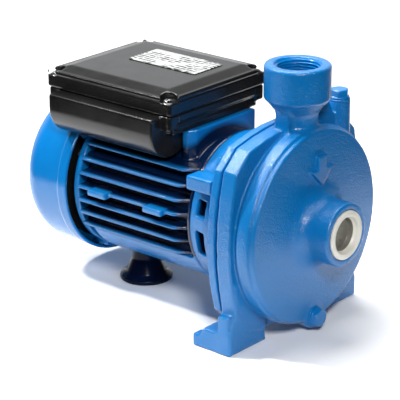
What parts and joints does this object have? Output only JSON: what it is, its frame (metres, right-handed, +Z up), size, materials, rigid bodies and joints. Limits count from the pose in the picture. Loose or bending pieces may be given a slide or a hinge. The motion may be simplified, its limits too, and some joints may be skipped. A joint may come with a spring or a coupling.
{
  "type": "centrifugal water pump",
  "caption": "Close-coupled centrifugal water pump with a finned fan-cooled motor, axial suction, upward threaded discharge, bolt-down feet and a terminal box.",
  "frame": {"origin": "on the floor, under the middle of the bounding box", "axes": "+Z up, +Y along the shaft from the suction to the fan, +X to the right seen from the suction side"},
  "size_m": [0.1564, 0.274, 0.205],
  "materials": {
    "blue_paint": "gloss enamel on a cast surface",
    "black_plastic": "moulded, satin to gloss",
    "navy_plastic": "moulded, gloss",
    "white_plastic": "moulded, off-white",
    "grey_plastic": "moulded",
    "rubber": "matte",
    "label": "plain film",
    "zinc_steel": "zinc plated",
    "bearing_steel": "ground",
    "lamination": "stacked sheet",
    "copper": "varnished copper wire",
    "brass": "cast",
    "carbon": "graphite",
    "ceramic": "ground ceramic"
  },
  "bodies": {
    "casing": {"pump_body": "blue_paint", "body_gasket": "rubber", "seal_seat": "ceramic", "seal_plate": "zinc_steel", "bracket": "blue_paint", "bracket_bolt_1": "zinc_steel", "bracket_bolt_2": "zinc_steel", "bracket_bolt_3": "zinc_steel", "bracket_bolt_4": "zinc_steel", "motor_housing": "blue_paint", "stator_core": "lamination", "winding_front": "copper", "winding_rear": "copper", "front_bearing_outer_ring": "bearing_steel", "rear_bearing_outer_ring": "bearing_steel", "wave_spring": "zinc_steel", "rear_end_shield": "blue_paint", "tie_rod_1": "zinc_steel", "tie_rod_2": "zinc_steel", "tie_rod_3": "zinc_steel", "tie_rod_4": "zinc_steel", "fan_cover": "blue_paint", "fan_cover_screw_1": "zinc_steel", "fan_cover_screw_2": "zinc_steel", "fan_cover_screw_3": "zinc_steel", "motor_foot": "navy_plastic", "motor_foot_screw": "zinc_steel", "terminal_box_base": "black_plastic", "terminal_box_lid": "black_plastic", "lid_gasket": "rubber", "lid_screw_1": "zinc_steel", "lid_screw_2": "zinc_steel", "lid_screw_3": "zinc_steel", "lid_screw_4": "zinc_steel", "capacitor": "grey_plastic", "terminal_board": "grey_plastic", "cable_gland": "black_plastic", "gland_nut": "black_plastic", "rating_plate": "label"},
    "rotor": {"shaft": "zinc_steel", "rotor_core": "lamination", "impeller": "brass", "impeller_nut": "zinc_steel", "impeller_key": "zinc_steel", "seal_ring": "carbon", "seal_spring": "zinc_steel", "seal_cup": "zinc_steel", "slinger": "rubber", "front_bearing_inner_ring": "bearing_steel", "rear_bearing_inner_ring": "bearing_steel", "fan": "black_plastic", "fan_clip": "zinc_steel"},
    "front_ball_cage": {"front_bearing_balls": "bearing_steel"},
    "rear_ball_cage": {"rear_bearing_balls": "bearing_steel"},
    "suction_plug": {"suction_plug": "white_plastic"},
    "priming_washer": {"priming_plug_washer": "blue_paint"},
    "priming_plug": {"priming_plug": "blue_paint"},
    "drain_washer": {"drain_plug_washer": "blue_paint"},
    "drain_plug": {"drain_plug": "blue_paint"}
  },
  "joints": [
    {"name": "shaft_spin", "type": "hinge", "parent": "casing", "child": "rotor", "pos_m": [0, 0, 0.084], "axis": [0, 1, 0], "continuous": true},
    {"name": "front_cage_spin", "type": "hinge", "parent": "casing", "child": "front_ball_cage", "pos_m": [0, 0, 0.084], "axis": [0, 1, 0], "continuous": true},
    {"name": "rear_cage_spin", "type": "hinge", "parent": "casing", "child": "rear_ball_cage", "pos_m": [0, 0, 0.084], "axis": [0, 1, 0], "continuous": true},
    {"name": "suction_plug_pull", "type": "slide", "parent": "casing", "child": "suction_plug", "axis": [0, -1, 0], "range_m": [0, 0.03]},
    {"name": "priming_plug_lift", "type": "slide", "parent": "casing", "child": "priming_washer", "axis": [0, 0, 1], "range_m": [0, 0.0134]},
    {"name": "priming_plug_turn", "type": "hinge", "parent": "priming_washer", "child": "priming_plug", "pos_m": [0.0515, -0.0892, 0.17], "axis": [0, 0, 1], "range_deg": [0, 3600]},
    {"name": "drain_plug_back_off", "type": "slide", "parent": "casing", "child": "drain_washer", "axis": [0, -1, 0], "range_m": [0, 0.0067]},
    {"name": "drain_plug_turn", "type": "hinge", "parent": "drain_washer", "child": "drain_plug", "pos_m": [0, -0.114, 0.0125], "axis": [0, -1, 0], "range_deg": [0, 1800]}
  ],
  "couplings": [
    {"joint": "front_cage_spin", "follows": "shaft_spin", "ratio": 0.38},
    {"joint": "rear_cage_spin", "follows": "shaft_spin", "ratio": 0.38},
    {"joint": "priming_plug_lift", "follows": "priming_plug_turn", "m_per_rad": 0.0002127},
    {"joint": "drain_plug_back_off", "follows": "drain_plug_turn", "m_per_rad": 0.0002127}
  ]
}
